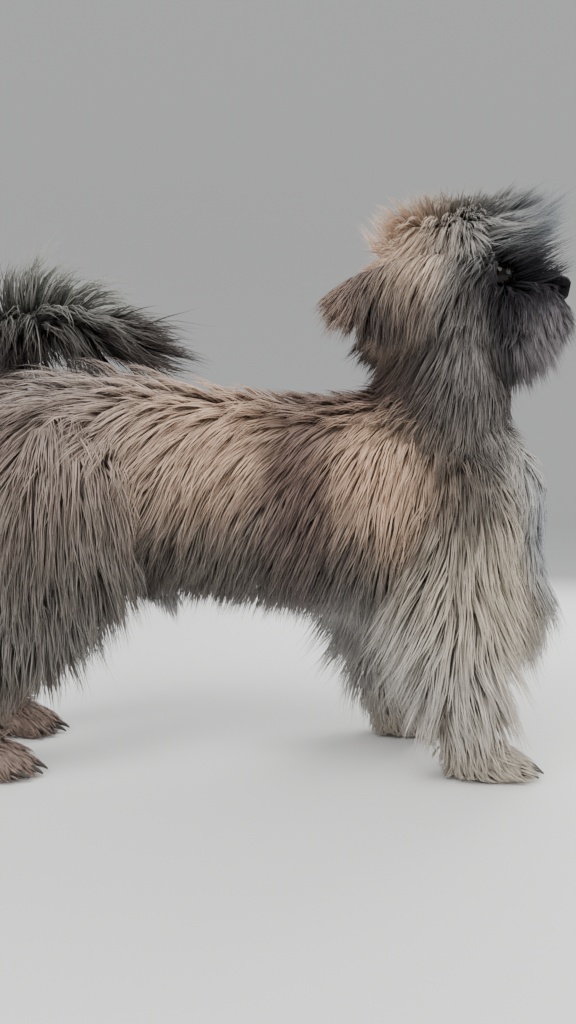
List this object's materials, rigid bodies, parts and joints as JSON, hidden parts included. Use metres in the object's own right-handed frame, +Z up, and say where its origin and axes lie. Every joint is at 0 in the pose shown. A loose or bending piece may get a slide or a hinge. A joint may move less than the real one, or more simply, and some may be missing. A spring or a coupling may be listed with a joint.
{
  "type": "life-size shih tzu figure",
  "caption": "Life-size still model of a small long-coated dog standing, with a round fluffy head, drop ears and a plumed tail curled forward over its back.",
  "frame": {"origin": "on the floor, under the middle of the whole dog", "axes": "+X to the nose, +Y to the dog's left, +Z up"},
  "size_m": [0.448, 0.198, 0.3892],
  "materials": {
    "coat_gold": "soft hair in locks",
    "coat_cream": "soft hair in locks",
    "coat_dark": "soft hair in locks",
    "eye_black": "wet gloss",
    "nose_leather": "fine pebbled, damp"
  },
  "bodies": {
    "root": {"torso": "coat_gold", "neck": "coat_gold", "head": "coat_dark", "nose": "nose_leather", "eye_left": "eye_black", "eye_right": "eye_black", "ear_left": "coat_dark", "ear_right": "coat_dark", "tail": "coat_dark", "leg_front_left": "coat_cream", "leg_front_right": "coat_cream", "leg_hind_left": "coat_gold", "leg_hind_right": "coat_gold", "paw_front_left": "coat_cream", "paw_front_right": "coat_cream", "paw_hind_left": "coat_cream", "paw_hind_right": "coat_cream"}
  },
  "joints": []
}
